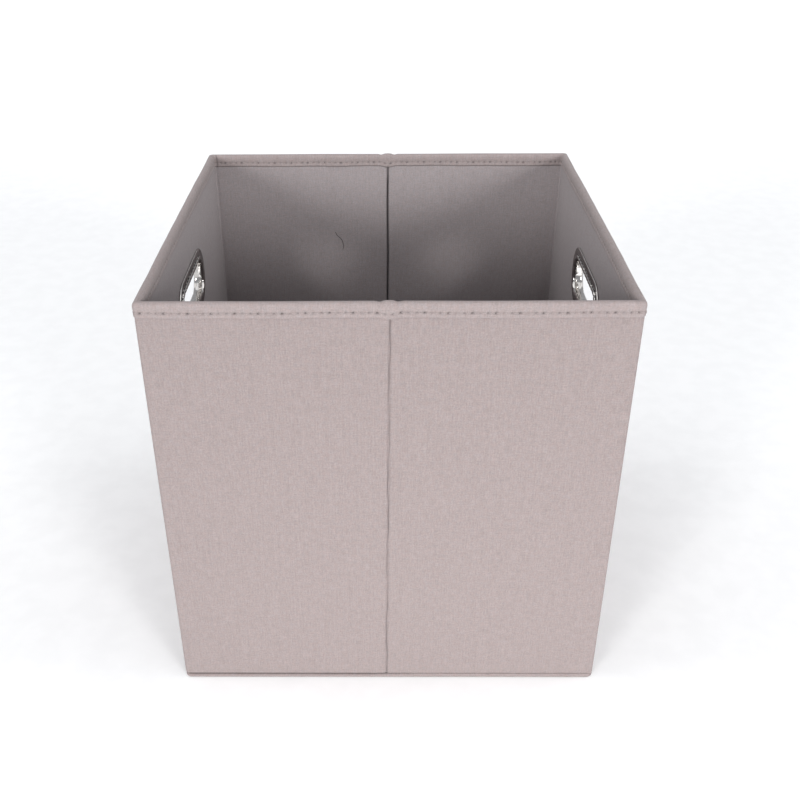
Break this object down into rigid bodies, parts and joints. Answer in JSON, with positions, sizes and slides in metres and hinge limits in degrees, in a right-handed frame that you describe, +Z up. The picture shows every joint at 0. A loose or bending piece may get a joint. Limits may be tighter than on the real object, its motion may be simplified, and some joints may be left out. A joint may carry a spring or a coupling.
{
  "type": "fabric storage bin",
  "caption": "Fold-flat fabric storage cube: stiffened fabric walls, stitched rim hem, metal slot grips in both side walls and a loose base board.",
  "frame": {"origin": "middle of the base, on the surface that the bin stands on", "axes": "+Z up; the creased front wall faces -Y and the creased back wall +Y; the side walls with the metal grips are on -X and +X"},
  "size_m": [0.3276, 0.328, 0.327],
  "materials": {
    "outer_fabric": "matt plain weave, warm mauve grey",
    "lining_fabric": "matt plain weave, warm mauve grey",
    "hem_fabric": "matt plain weave, folded and stitched",
    "thread": "matt sewing thread",
    "stiffener_board": "plain grey board",
    "grip_metal": "bright nickel plate"
  },
  "bodies": {
    "right_wall": {"right_wall_cover": "outer_fabric", "right_wall_board": "stiffener_board", "right_wall_lining": "lining_fabric", "right_wall_hem": "hem_fabric", "right_grip_face": "grip_metal", "right_grip_washer": "grip_metal", "front_right_corner_web": "outer_fabric", "back_right_corner_web": "outer_fabric", "bottom_cloth": "outer_fabric"},
    "front_right_panel": {"front_right_cover": "outer_fabric", "front_right_board": "stiffener_board", "front_right_lining": "lining_fabric", "front_right_hem": "hem_fabric", "front_crease_web": "outer_fabric"},
    "front_left_panel": {"front_left_cover": "outer_fabric", "front_left_board": "stiffener_board", "front_left_lining": "lining_fabric", "front_left_hem": "hem_fabric", "front_left_corner_web": "outer_fabric"},
    "left_wall": {"left_wall_cover": "outer_fabric", "left_wall_board": "stiffener_board", "left_wall_lining": "lining_fabric", "left_wall_hem": "hem_fabric", "left_grip_face": "grip_metal", "left_grip_washer": "grip_metal"},
    "back_right_panel": {"back_right_cover": "outer_fabric", "back_right_board": "stiffener_board", "back_right_lining": "lining_fabric", "back_right_hem": "hem_fabric", "back_crease_web": "outer_fabric"},
    "back_left_panel": {"back_left_cover": "outer_fabric", "back_left_board": "stiffener_board", "back_left_lining": "lining_fabric", "back_left_hem": "hem_fabric", "back_left_corner_web": "outer_fabric"},
    "base_board": {"base_board_core": "stiffener_board", "base_board_cover": "lining_fabric"}
  },
  "joints": [
    {"name": "front_right_corner_fold", "type": "hinge", "parent": "right_wall", "child": "front_right_panel", "pos_m": [0.1572, -0.1582, 0], "axis": [0, 0, -1], "range_deg": [0, 88], "deforming": ["front_right_corner_web", "bottom_cloth"]},
    {"name": "front_crease_fold", "type": "hinge", "parent": "front_right_panel", "child": "front_left_panel", "pos_m": [0, -0.1642, 0], "axis": [0, 0, 1], "range_deg": [0, 176], "deforming": ["front_crease_web"]},
    {"name": "front_left_corner_fold", "type": "hinge", "parent": "front_left_panel", "child": "left_wall", "pos_m": [-0.1572, -0.1582, 0], "axis": [0, 0, -1], "range_deg": [0, 88], "deforming": ["front_left_corner_web"]},
    {"name": "back_right_corner_fold", "type": "hinge", "parent": "right_wall", "child": "back_right_panel", "pos_m": [0.1572, 0.1582, 0], "axis": [0, 0, 1], "range_deg": [0, 88], "deforming": ["back_right_corner_web"]},
    {"name": "back_crease_fold", "type": "hinge", "parent": "back_right_panel", "child": "back_left_panel", "pos_m": [0, 0.1642, 0], "axis": [0, 0, -1], "range_deg": [0, 176], "deforming": ["back_crease_web", "back_left_corner_web"]},
    {"name": "base_board_lift", "type": "slide", "parent": "right_wall", "child": "base_board", "axis": [0, 0, 1], "range_m": [0, 0.35]}
  ],
  "couplings": [
    {"joint": "front_crease_fold", "follows": "front_right_corner_fold", "ratio": 2},
    {"joint": "front_left_corner_fold", "follows": "front_right_corner_fold", "ratio": 1},
    {"joint": "back_right_corner_fold", "follows": "front_right_corner_fold", "ratio": 1},
    {"joint": "back_crease_fold", "follows": "front_right_corner_fold", "ratio": 2}
  ]
}
